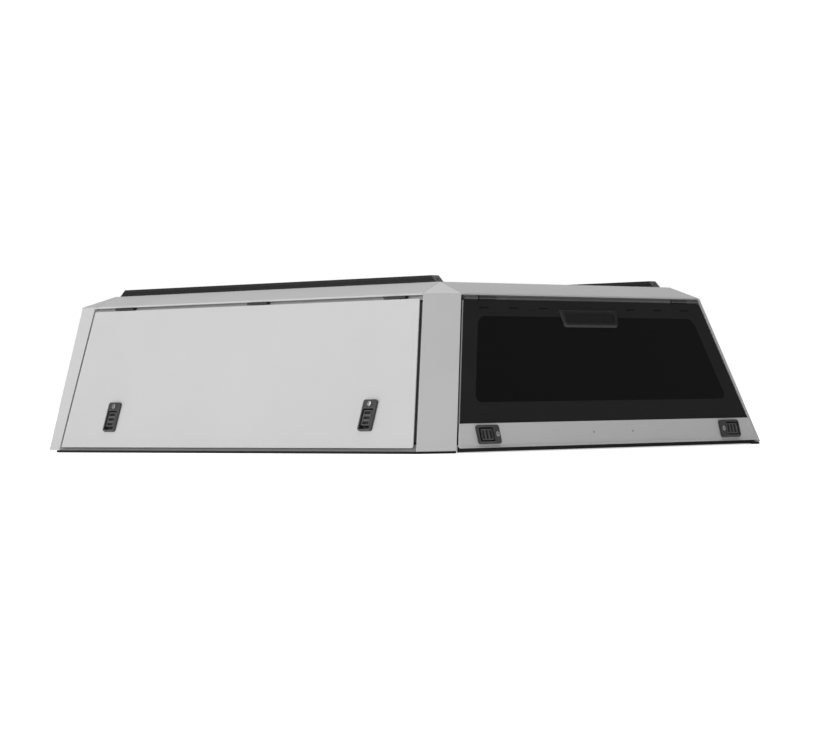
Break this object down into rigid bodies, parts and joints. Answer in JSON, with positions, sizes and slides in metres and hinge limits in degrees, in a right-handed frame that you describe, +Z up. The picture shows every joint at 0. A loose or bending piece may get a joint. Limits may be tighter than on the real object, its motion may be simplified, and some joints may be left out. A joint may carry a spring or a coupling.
{
  "type": "pickup truck canopy",
  "caption": "Steel pickup bed canopy with lift-up side doors, a lift-up glass rear door, paddle latches and two roof rails.",
  "frame": {"origin": "centre of the footprint at the underside of the base seal, which lies on the bed rails", "axes": "+X to the vehicle's right, +Y towards the cab, +Z up"},
  "size_m": [1.78, 1.9008, 0.5781],
  "materials": {
    "body_paint": "satin light grey paint",
    "inner_paint": "satin grey paint",
    "black_plastic": "fine texture",
    "rubber_seal": "matte",
    "tinted_glass": "dark tint",
    "black_aluminium": "black powder coat",
    "lamp_lens": "smoked red"
  },
  "bodies": {
    "canopy": {"base_seal": "rubber_seal", "front_header": "body_paint", "front_lower_panel": "inner_paint", "front_stiles": "body_paint", "front_upper_panel": "inner_paint", "front_window": "tinted_glass", "front_window_seal": "rubber_seal", "hinge_brackets": "black_aluminium", "left_door_seal": "rubber_seal", "left_front_pillar": "body_paint", "left_rear_pillar": "body_paint", "left_roof_rail": "black_aluminium", "left_roof_side": "body_paint", "left_side_header": "inner_paint", "left_sill": "body_paint", "rear_header": "body_paint", "rear_opening_seal": "rubber_seal", "right_door_seal": "rubber_seal", "right_front_pillar": "body_paint", "right_rear_pillar": "body_paint", "right_roof_rail": "black_aluminium", "right_roof_side": "body_paint", "right_side_header": "inner_paint", "right_sill": "body_paint", "roof_bows": "inner_paint", "roof_panel": "inner_paint"},
    "left_door": {"left_door_frame": "black_aluminium", "left_door_hinges": "black_aluminium", "left_door_liner": "inner_paint", "left_door_skin": "body_paint", "left_latch_housings": "black_plastic"},
    "right_door": {"right_door_frame": "black_aluminium", "right_door_hinges": "black_aluminium", "right_door_liner": "inner_paint", "right_door_skin": "body_paint", "right_latch_housings": "black_plastic"},
    "rear_door": {"brake_light_housing": "black_plastic", "brake_light_lens": "lamp_lens", "rear_door_frame": "black_aluminium", "rear_door_profile": "black_aluminium", "rear_door_rail": "black_plastic", "rear_door_seal": "rubber_seal", "rear_door_strip": "body_paint", "rear_glass": "tinted_glass", "rear_latch_housings": "black_plastic"},
    "left_front_paddle": {"left_front_latch_paddle": "black_plastic"},
    "left_rear_paddle": {"left_rear_latch_paddle": "black_plastic"},
    "right_front_paddle": {"right_front_latch_paddle": "black_plastic"},
    "right_rear_paddle": {"right_rear_latch_paddle": "black_plastic"},
    "rear_left_paddle": {"rear_left_latch_paddle": "black_plastic"},
    "rear_right_paddle": {"rear_right_latch_paddle": "black_plastic"}
  },
  "joints": [
    {"name": "left_side_door", "type": "hinge", "parent": "canopy", "child": "left_door", "pos_m": [-0.71553, 0.0278, 0.503], "axis": [0, 1, 0], "range_deg": [0, 80]},
    {"name": "right_side_door", "type": "hinge", "parent": "canopy", "child": "right_door", "pos_m": [0.71553, 0.0278, 0.503], "axis": [0, -1, 0], "range_deg": [0, 80]},
    {"name": "rear_lift_door", "type": "hinge", "parent": "canopy", "child": "rear_door", "pos_m": [0, -0.81626, 0.5005], "axis": [-1, 0, 0], "range_deg": [0, 85]},
    {"name": "left_front_latch", "type": "hinge", "parent": "left_door", "child": "left_front_paddle", "pos_m": [-0.84952, 0.6238, 0.13651], "axis": [0, 1, 0], "range_deg": [0, 35], "stiffness_Nm_per_rad": 0.12, "springref_deg": -11.46},
    {"name": "left_rear_latch", "type": "hinge", "parent": "left_door", "child": "left_rear_paddle", "pos_m": [-0.84952, -0.6272, 0.13651], "axis": [0, 1, 0], "range_deg": [0, 35], "stiffness_Nm_per_rad": 0.12, "springref_deg": -11.46},
    {"name": "right_front_latch", "type": "hinge", "parent": "right_door", "child": "right_front_paddle", "pos_m": [0.84952, 0.6238, 0.13651], "axis": [0, -1, 0], "range_deg": [0, 35], "stiffness_Nm_per_rad": 0.12, "springref_deg": -11.46},
    {"name": "right_rear_latch", "type": "hinge", "parent": "right_door", "child": "right_rear_paddle", "pos_m": [0.84952, -0.6272, 0.13651], "axis": [0, -1, 0], "range_deg": [0, 35], "stiffness_Nm_per_rad": 0.12, "springref_deg": -11.46},
    {"name": "rear_left_latch", "type": "hinge", "parent": "rear_door", "child": "rear_left_paddle", "pos_m": [-0.607, -0.93808, 0.05724], "axis": [0, 0.2482, 0.9687], "range_deg": [0, 35], "stiffness_Nm_per_rad": 0.12, "springref_deg": -11.46},
    {"name": "rear_right_latch", "type": "hinge", "parent": "rear_door", "child": "rear_right_paddle", "pos_m": [0.607, -0.93808, 0.05724], "axis": [0, -0.2482, -0.9687], "range_deg": [0, 35], "stiffness_Nm_per_rad": 0.12, "springref_deg": -11.46}
  ]
}
